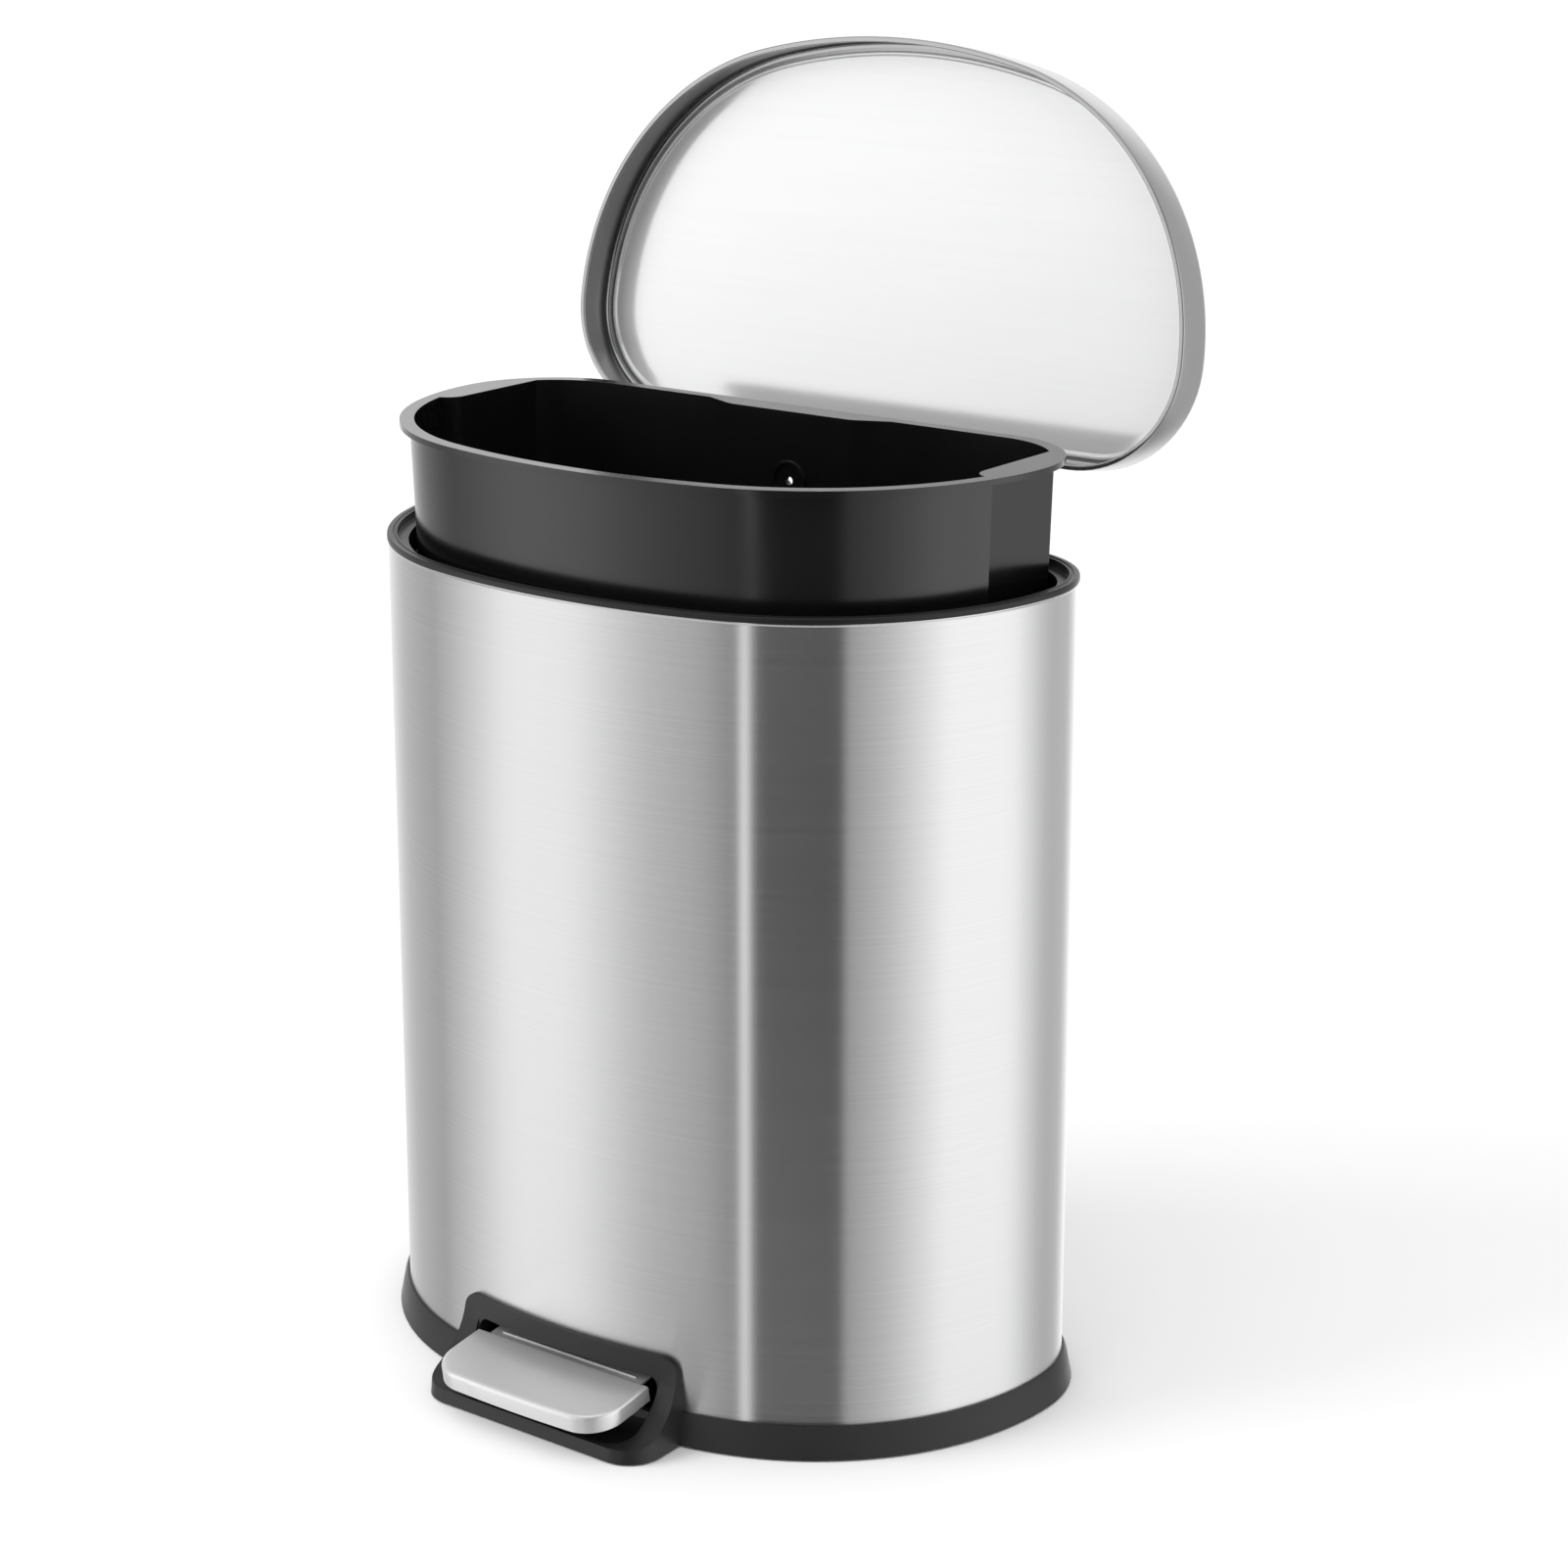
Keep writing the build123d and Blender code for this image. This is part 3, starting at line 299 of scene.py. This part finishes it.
# ---- mesh helpers -------------------------------------------------------------------
@dataclass(frozen=True)
class Outline:
    """D-shaped plan of the can, walked anticlockwise from the middle of the front."""

    rear_radius: float = 0.068
    half_width: float = 0.200
    front_radius: float = 0.355
    side_radius: float = 0.150
    front_mark: float = 0.066
    back_mark: float = 0.018
    steps: tuple[int, int, int] = (16, 40, 20)

    def stations(self) -> list[Station]:
        """Centre, radius and angle of each point of the outline.

        Returns:
            One (centre x, centre y, radius, angle) for each point.
        """
        side_x = self.half_width - self.side_radius
        rear_x = self.half_width - self.rear_radius
        front_y = math.sqrt((self.front_radius - self.side_radius) ** 2 - side_x ** 2)
        turn = math.atan2(-front_y, side_x)
        start, quarter = -math.pi / 2, math.pi / 2
        front, side, rear = self.steps
        angles = [start + (turn - start) * i / front for i in range(front + 1)]
        mark = start + math.asin(self.front_mark / self.front_radius)
        nearest = min(range(len(angles)), key=lambda i: abs(angles[i] - mark))
        angles[nearest] = mark
        half = [(0.0, front_y, self.front_radius, a) for a in angles]
        half += [(side_x, 0.0, self.side_radius, turn * (1 - i / side)) for i in range(1, side + 1)]
        half += [(rear_x, 0.0, self.rear_radius, quarter * i / rear) for i in range(1, rear + 1)]
        xs = [rear_x * 0.75, rear_x * 0.5, rear_x * 0.25, self.back_mark, 0.0]
        half += [(x, 0.0, self.rear_radius, quarter) for x in xs]
        other = [(-x, y, r, math.pi - a) for x, y, r, a in reversed(half[1:-1])]
        return half + other

    def ring(self, offset: float, height: float) -> list[Vector]:
        """Points of the outline, grown by an offset, at one height."""
        return [
            Vector((x + (r + offset) * math.cos(a), y + (r + offset) * math.sin(a), height))
            for x, y, r, a in self.stations()
        ]


def eased(corners: Sequence[Corner], closed: bool, steps: int = 4) -> list[tuple[float, float]]:
    """Round the corners of a section.

    Args:
        corners: (offset, height, radius) in millimetres.
        closed: whether the section's end joins its start.
        steps: parts in each rounded corner.

    Returns:
        The section's (offset, height) points in metres.
    """
    points = [Vector(c[:2]) for c in corners]
    count = len(points)
    section: list[Vector] = []
    for i, (point, corner) in enumerate(zip(points, corners)):
        ends = not closed and i in (0, count - 1)
        if corner[2] <= 0 or ends:
            section.append(point)
            continue
        before, after = points[i - 1] - point, points[(i + 1) % count] - point
        reach = min(corner[2], before.length * 0.48, after.length * 0.48)
        first, last = point + before.normalized() * reach, point + after.normalized() * reach
        for k in range(steps + 1):
            t = k / steps
            section.append(first * (1 - t) ** 2 + point * 2 * t * (1 - t) + last * t * t)
    return [(p.x * MM, p.y * MM) for p in section]


def mesh_of(
    name: str, points: Sequence[Vector], faces: Sequence[Sequence[int]], sharp: float
) -> bpy.types.Object:
    """Make an object with smooth shading.

    Args:
        name: name of the piece.
        points: vertices.
        faces: vertex numbers of each face.
        sharp: edges that turn more than this many degrees stay crisp.

    Returns:
        The object, linked to the scene.
    """
    mesh = bpy.data.meshes.new(name)
    mesh.from_pydata([tuple(p) for p in points], [], [tuple(f) for f in faces])
    mesh.validate()
    mesh.shade_smooth()
    mesh.set_sharp_from_angle(angle=math.radians(sharp))
    made = bpy.data.objects.new(name, mesh)
    bpy.context.scene.collection.objects.link(made)
    return made


def sweep(
    name: str,
    corners: Sequence[Corner],
    outline: Outline,
    closed: bool = True,
    keep: Keep | None = None,
    turn: Matrix | None = None,
) -> bpy.types.Object:
    """Carry a section round the outline.

    Args:
        name: name of the piece.
        corners: section, walked up the outside, inward over the top and down the inside.
        outline: plan to follow.
        closed: whether the section closes; an open one gets a flat face at each end.
        keep: tells from a face's centre whether it stays.
        turn: moves the finished points.

    Returns:
        The piece.
    """
    section = eased(corners, closed)
    rings = [outline.ring(offset, height) for offset, height in section]
    count = len(rings[0])
    points = [p for ring in rings for p in ring]
    faces: list[list[int]] = []
    for j in range(len(rings) if closed else len(rings) - 1):
        low, high = j * count, (j + 1) % len(rings) * count
        for i in range(count):
            k = (i + 1) % count
            face = [low + i, low + k, high + k, high + i]
            if keep is None or keep(sum((points[n] for n in face), Vector()) / len(face)):
                faces.append(face)
    if not closed:
        faces.append(list(range(count - 1, -1, -1)))
        faces.append([(len(rings) - 1) * count + i for i in range(count)])
    if turn is not None:
        points = [turn @ p for p in points]
    return mesh_of(name, points, faces, SWEEP_SHARP)


def softened(name: str, node: str, width: float, sharp: float = 32.0) -> bpy.types.Object:
    """Copy a CAD part's shape and give its edges a small radius.

    Args:
        name: name of the new piece.
        node: CAD node whose shape it takes.
        width: size of the edge radius in millimetres.
        sharp: edges that turn more than this many degrees are rounded.

    Returns:
        The piece.
    """
    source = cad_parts[node].data
    work = bmesh.new()
    for vertex in source.vertices:
        work.verts.new(vertex.co)
    work.verts.ensure_lookup_table()
    for polygon in source.polygons:
        try:
            work.faces.new([work.verts[i] for i in polygon.vertices])
        except ValueError:
            continue
    bmesh.ops.remove_doubles(work, verts=work.verts, dist=MERGE)
    bmesh.ops.dissolve_limit(work, angle_limit=FLAT, verts=work.verts, edges=work.edges)
    mesh = bpy.data.meshes.new(name)
    work.to_mesh(mesh)
    work.free()
    mesh.shade_smooth()
    made = bpy.data.objects.new(name, mesh)
    bpy.context.scene.collection.objects.link(made)
    bevel = made.modifiers.new("edge_radius", "BEVEL")
    bevel.width = width * MM
    bevel.segments = 2
    bevel.limit_method = "ANGLE"
    bevel.angle_limit = math.radians(sharp)
    bevel.use_clamp_overlap = True
    bevel.harden_normals = True
    mesh.set_sharp_from_angle(angle=math.radians(sharp))
    return made


# ---- sub-assemblies -----------------------------------------------------------------
@dataclass
class SubAssembly:
    """A group of pieces that ride on one body."""

    body: Body
    pieces: list[bpy.types.Object] = field(default_factory=list)

    def stand_in(self, piece: bpy.types.Object, finish: Finish, *nodes: str) -> bpy.types.Object:
        """Dress a new piece, put it on the body and let it stand for CAD nodes.

        Args:
            piece: the new piece.
            finish: its finish.
            nodes: CAD nodes that it stands for.

        Returns:
            The same piece.
        """
        paint(piece, finish)
        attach(piece, self.body.value)
        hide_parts(*nodes)
        self.pieces.append(piece)
        return piece

    def carry(self, finish: Finish, *nodes: str) -> None:
        """Dress CAD nodes that are shown as they are."""
        for node in nodes:
            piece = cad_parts[node]
            paint(piece, finish)
            self.pieces.append(piece)

    def build(self) -> list[bpy.types.Object]:
        """Make and dress the pieces."""
        raise NotImplementedError


@dataclass
class SteelBody(SubAssembly):
    """Brushed shell and the plastic ring on its rim. Sizes in millimetres."""

    body: Body = Body.CAN
    outline: Outline = Outline()
    bottom: float = 8.0
    top: float = 444.5
    steel: float = 0.8
    pedal_half: float = 66.0
    pedal_top: float = 42.0
    lever_half: float = 18.0
    lever_top: float = 49.0

    def is_wall(self, centre: Vector) -> bool:
        """Whether a face lies outside the pedal opening and the lever slot."""
        x, y, z = (abs(centre.x) / MM, centre.y, centre.z / MM)
        pedal = y < -0.1 and x < self.pedal_half and z < self.pedal_top
        lever = y > 0.05 and x < self.lever_half and z < self.lever_top
        return not (pedal or lever)

    def shell_section(self) -> list[Corner]:
        """Section of the shell, with its rim rolled out a little."""
        inside, lip, edge = -self.steel, self.top - 1.3, self.top - 0.05
        rows = (self.pedal_top, self.lever_top)
        outer = [(0.0, z, 0.0) for z in (self.bottom, *rows, 180.0, 320.0)]
        rim = [(0.0, lip, 0.5), (0.5, lip + 0.6, 0.35), (0.5, edge, 0.4), (inside, edge, 0.3)]
        inner = [(inside, z, 0.0) for z in (320.0, 180.0, *reversed(rows), self.bottom)]
        return outer + rim + inner

    def ring_section(self) -> list[Corner]:
        """Section of the trim ring: outer band, groove, inner lip and bucket ledge."""
        return [
            (0.7, 444.5, 0.2), (0.7, 446.9, 0.7), (0.0, 447.6, 0.4), (-2.3, 447.6, 0.35),
            (-2.7, 446.7, 0.2), (-3.6, 446.7, 0.2), (-3.9, 447.3, 0.2), (-4.8, 447.3, 0.3),
            (-4.8, 443.0, 0.3), (-11.0, 443.0, 0.6), (-11.0, 434.0, 0.4), (-9.4, 434.0, 0.4),
            (-9.4, 440.6, 0.5), (-3.4, 440.6, 0.5), (-3.4, 424.0, 0.4), (-0.85, 424.0, 0.4),
            (-0.85, 444.5, 0.0),
        ]

    def build(self) -> list[bpy.types.Object]:
        """Make the shell and the trim ring, and dress the plates inside."""
        shell = sweep("brushed_steel_shell", self.shell_section(), self.outline, keep=self.is_wall)
        self.stand_in(shell, SHELL_STEEL, "outer_shell")
        ring = sweep("rim_trim_ring", self.ring_section(), self.outline)
        self.stand_in(ring, TRIM_PLASTIC, "top_trim_ring")
        self.carry(BRACKET_STEEL, "reinforcement_plate")
        return self.pieces


@dataclass
class PlasticBase(SubAssembly):
    """Moulded base with the pedal surround, its rubber foot and fixings."""

    body: Body = Body.CAN
    outline: Outline = Outline()
    edge: float = 0.7

    def foot_section(self) -> list[Corner]:
        """Section of the rubber foot, with two ribs on the floor."""
        return [
            (3.0, 0.4, 0.2), (3.0, 2.2, 0.1), (-0.8, 2.2, 0.1), (-0.8, 0.3, 0.2), (-0.4, 0.0, 0.2),
            (0.7, 0.0, 0.2), (1.1, 0.6, 0.2), (1.5, 0.0, 0.2), (2.6, 0.0, 0.2),
        ]

    def build(self) -> list[bpy.types.Object]:
        """Make the base moulding and the foot, and dress the plate and screws."""
        self.stand_in(softened("base_moulding", "base_ring", self.edge), BASE_PLASTIC, "base_ring")
        foot = sweep("ribbed_rubber_foot", self.foot_section(), self.outline)
        self.stand_in(foot, FOOT_RUBBER, "rubber_foot")
        self.carry(TRIM_PLASTIC, "base_plate")
        self.carry(BOLT_STEEL, "base_screws", "bracket_rivets", "pedal_axle", "axle_clips")
        self.carry(BRACKET_STEEL, "pedal_bracket")
        self.carry(FOOT_RUBBER, "pedal_stop")
        return self.pieces


@dataclass
class PedalUnit(SubAssembly):
    """Pad, core and lever of the pedal."""

    body: Body = Body.PEDAL
    edge: float = 0.5

    def build(self) -> list[bpy.types.Object]:
        """Make the pad's cover and dress the rest."""
        self.stand_in(softened("satin_pedal_pad", "pedal_pad_cover", self.edge), PAD_STEEL, "pedal_pad_cover")
        self.carry(CORE_PLASTIC, "pedal_pad_core")
        self.carry(BRACKET_STEEL, "pedal_lever")
        self.carry(BOLT_STEEL, "pad_screws")
        return self.pieces


@dataclass
class LiftGear(SubAssembly):
    """Rod, eye, head and piston that move up and down behind the shell."""

    body: Body = Body.ROD

    def build(self) -> list[bpy.types.Object]:
        """Dress the moving gear."""
        self.carry(BOLT_STEEL, "lift_rod", "rod_pin", "damper_piston")
        self.carry(CORE_PLASTIC, "rod_eye", "rod_head")
        return self.pieces


@dataclass
class HingeUnit(SubAssembly):
    """Housing, cover, guides and damper on the back of the can."""

    body: Body = Body.CAN
    edge: float = 0.8

    def build(self) -> list[bpy.types.Object]:
        """Make the covers and dress what they hold."""
        for node in ("hinge_housing", "rod_cover"):
            self.stand_in(softened("moulded_" + node, node, self.edge), TRIM_PLASTIC, node)
        self.carry(TRIM_PLASTIC, "housing_cap")
        self.carry(CORE_PLASTIC, "rod_guides", "damper_clamp")
        self.carry(DAMPER_PAINT, "damper_cylinder")
        self.carry(BOLT_STEEL, "hinge_pins", "guide_screws", "cover_screws", "housing_screws")
        return self.pieces


@dataclass
class Lid(SubAssembly):
    """Pressed lid, drawn closed and turned open. Sizes in millimetres."""

    body: Body = Body.LID
    outline: Outline = Outline(rear_radius=0.0594)
    rim: float = 448.2
    top: float = 473.6
    opened: float = 99.4
    hinge: tuple[float, float, float] = (0.0, 0.097, 0.449)

    def turn(self) -> Matrix:
        """Motion from closed to open, about the hinge."""
        centre = Matrix.Translation(self.hinge)
        return centre @ Matrix.Rotation(math.radians(-self.opened), 4, "X") @ centre.inverted()

    def shell_section(self) -> list[Corner]:
        """Section of the lid, from the middle of its ceiling round the rolled rim to its top."""
        rim, top = self.rim, self.top
        return [
            (-9.0, top - 0.8, 0.0), (1.3, top - 0.8, 3.2), (1.3, rim + 3.2, 0.3), (-0.2, rim + 2.9, 0.5),
            (-0.9, rim + 1.8, 0.8), (-0.9, rim + 0.2, 0.9), (0.6, rim, 0.7), (2.1, rim + 0.1, 0.8),
            (2.1, top, 4.0), (-9.0, top, 0.0),
        ]

    def panel_section(self) -> list[Corner]:
        """Section of the inner panel, from its middle to the raised bead and the edge."""
        under = self.top - 0.8
        return [
            (-12.0, under - 0.6, 0.0), (-6.4, under - 0.6, 0.4), (-5.5, under - 1.9, 0.5),
            (-4.3, under - 1.9, 0.5), (-3.5, under - 1.0, 0.4), (-3.5, under - 0.02, 0.0),
            (-12.0, under - 0.02, 0.0),
        ]

    def build(self) -> list[bpy.types.Object]:
        """Make the lid and its panel, and dress the hinge arm."""
        shell = sweep("pressed_lid", self.shell_section(), self.outline, closed=False, turn=self.turn())
        self.stand_in(shell, LID_STEEL_WITH_PAINTED_SHADE, "lid_shell")
        panel = sweep("lid_bright_panel", self.panel_section(), self.outline, closed=False, turn=self.turn())
        self.stand_in(panel, PANEL_STEEL, "lid_inner_panel")
        self.carry(BRACKET_STEEL, "lid_hinge_arm")
        self.carry(BOLT_STEEL, "lid_rivets", "crank_pin")
        return self.pieces


@dataclass
class Bucket(SubAssembly):
    """Lift-out plastic bucket."""

    body: Body = Body.BUCKET
    edge: float = 0.8

    def build(self) -> list[bpy.types.Object]:
        """Make the bucket with its flange, grips and vent."""
        self.stand_in(softened("lift_out_bucket", "inner_bucket", self.edge), BUCKET_PLASTIC, "inner_bucket")
        return self.pieces


# ---- studio -------------------------------------------------------------------------
@dataclass(frozen=True)
class Studio:
    """Pale floor, soft light, reflecting screens and the camera."""

    floor_half: float = 14.0
    floor_tone: Colour = (0.93, 0.93, 0.93)
    screen_radius: float = 3.0
    screen_low: float = -3.0
    screen_high: float = 4.0
    screen_sides: int = 240
    screen_gain: float = 1.6
    upper_dimming: tuple[float, float, float] = (1.9, 3.2, 0.4)
    lower_dimming: tuple[float, float, float] = (-2.4, -1.4, 0.5)
    room_light: float = 1.08
    lamp_power: float = 55.0
    lamp_size: float = 1.8
    lamp_place: tuple[float, float, float] = (-1.9, -2.2, 1.7)
    lamp_target: tuple[float, float, float] = (0.0, 0.0, 0.2)
    camera_place: tuple[float, float, float] = (1.128, -1.4768, 0.8659)
    camera_turn: float = 0.6398
    camera_dip: float = 0.2687
    camera_lens: float = 81.97
    camera_lift: float = -0.05
    # Direction in degrees from +X, and brightness: soft boxes, greys, a thin strip and a dark flag.
    screens: tuple[tuple[float, float], ...] = (
        (0, 0.95), (30, 0.95), (50, 0.45), (75, 0.45), (100, 0.90), (140, 0.75), (170, 0.45), (200, 0.35),
        (220, 0.90), (235, 0.85), (250, 0.50), (277, 0.20), (278.5, 1.00), (280.5, 1.00), (282, 0.07),
        (317, 0.05), (319, 0.30), (335, 0.50), (360, 0.95),
    )

    def floor(self) -> bpy.types.Object:
        """Lay the pale floor."""
        h = self.floor_half
        corners = [Vector((-h, -h, 0)), Vector((h, -h, 0)), Vector((h, h, 0)), Vector((-h, h, 0))]
        made = mesh_of("studio_floor", corners, [(0, 1, 2, 3)], 30.0)
        sheet = NodeSheet("pale_studio_floor")
        sheet.feed(Base_Color=sheet.tint(sheet.noise((3.0, 3.0, 3.0)), self.floor_tone, 0.004), Roughness=0.9)
        sheet.feed(Specular_IOR_Level=0.0)
        made.data.materials.append(sheet.material)
        made.visible_glossy = False
        return made

    def screen(self) -> bpy.types.Object:
        """Stand the ring of grey and white screens that the steel reflects."""
        count = self.screen_sides
        points: list[Vector] = []
        for z in (self.screen_low, self.screen_high):
            for i in range(count):
                a = 2 * math.pi * i / count
                reach = self.screen_radius
                points.append(Vector((reach * math.cos(a), reach * math.sin(a), z)))
        faces = [(i, (i + 1) % count, count + (i + 1) % count, count + i) for i in range(count)]
        made = mesh_of("studio_screens", points, faces, 30.0)
        made.data.materials.append(self.screen_material())
        made.visible_camera = False
        made.visible_diffuse = False
        made.visible_shadow = False
        made.visible_transmission = False
        return made

    def screen_material(self) -> bpy.types.Material:
        """Light of the screens by their direction from the can."""
        sheet = NodeSheet("studio_screen_light")
        split = sheet.node("ShaderNodeSeparateXYZ", {"Vector": sheet.coordinates})
        angle = sheet.node("ShaderNodeMath", {}, operation="ARCTAN2")
        sheet.tree.links.new(split.outputs["Y"], angle.inputs[0])
        sheet.tree.links.new(split.outputs["X"], angle.inputs[1])
        share = sheet.node("ShaderNodeMath", {0: angle.outputs[0]}, operation="DIVIDE")
        share.inputs[1].default_value = 2 * math.pi
        wrapped = sheet.node("ShaderNodeMath", {0: share.outputs[0]}, operation="FRACT")
        ramp = sheet.node("ShaderNodeValToRGB", {"Fac": wrapped.outputs[0]})
        stops = ramp.color_ramp.elements
        for number, (degrees, light) in enumerate(self.screens):
            stop = stops[number] if number < len(stops) else stops.new(degrees / 360)
            stop.position = degrees / 360
            stop.color = (light, light, light, 1.0)
        height = split.outputs["Z"]
        low, high, share_up = self.upper_dimming
        upper = {"Value": height, "From Min": low, "From Max": high, "To Min": self.screen_gain,
                 "To Max": self.screen_gain * share_up}
        low, high, share_down = self.lower_dimming
        lower = {"Value": height, "From Min": low, "From Max": high, "To Min": share_down, "To Max": 1.0}
        upper_share = sheet.node("ShaderNodeMapRange", upper).outputs[0]
        lower_share = sheet.node("ShaderNodeMapRange", lower).outputs[0]
        both = sheet.node("ShaderNodeMath", {0: upper_share, 1: lower_share}, operation="MULTIPLY")
        glow = sheet.node("ShaderNodeEmission", {"Color": ramp.outputs["Color"], "Strength": both.outputs[0]})
        out = sheet.tree.nodes["Material Output"]
        sheet.tree.links.new(glow.outputs[0], out.inputs["Surface"])
        sheet.tree.nodes.remove(sheet.shader)
        return sheet.material

    def light(self) -> None:
        """Fill the room with white light and hang one soft lamp at the upper left."""
        world = bpy.data.worlds.new("white_studio")
        bpy.context.scene.world = world
        world.use_nodes = True
        world.node_tree.nodes["Background"].inputs["Color"].default_value = (1.0, 1.0, 1.0, 1.0)
        world.node_tree.nodes["Background"].inputs["Strength"].default_value = self.room_light
        lamp = bpy.data.lights.new("soft_lamp", "AREA")
        lamp.size = self.lamp_size
        lamp.energy = self.lamp_power
        hung = bpy.data.objects.new("soft_lamp", lamp)
        hung.location = self.lamp_place
        aim = Vector(self.lamp_target) - Vector(self.lamp_place)
        hung.rotation_euler = aim.to_track_quat("-Z", "Y").to_euler()
        hung.visible_glossy = False
        bpy.context.scene.collection.objects.link(hung)

    def camera(self) -> None:
        """Set the camera up in front, to the right."""
        lens = bpy.data.cameras.new("front_right_camera")
        lens.lens = self.camera_lens
        lens.shift_y = self.camera_lift
        lens.clip_end = 60.0
        made = bpy.data.objects.new("front_right_camera", lens)
        made.location = self.camera_place
        made.rotation_euler = (math.pi / 2 - self.camera_dip, 0.0, self.camera_turn)
        bpy.context.scene.collection.objects.link(made)
        bpy.context.scene.camera = made

    def build(self) -> None:
        """Set up the whole studio."""
        self.floor()
        self.screen()
        self.light()
        self.camera()
        bpy.context.scene.view_settings.view_transform = "Standard"


def main() -> None:
    """Build every sub-assembly in order, then the studio."""
    logging.basicConfig(level=logging.INFO, format="%(name)s: %(message)s")
    for unit in (SteelBody(), PlasticBase(), PedalUnit(), LiftGear(), HingeUnit(), Lid(), Bucket()):
        for piece in unit.build():
            LOG.info("%s: %s rides on %s", type(unit).__name__, piece.name, unit.body.value)
    Studio().build()


if __name__ == "__main__":
    main()
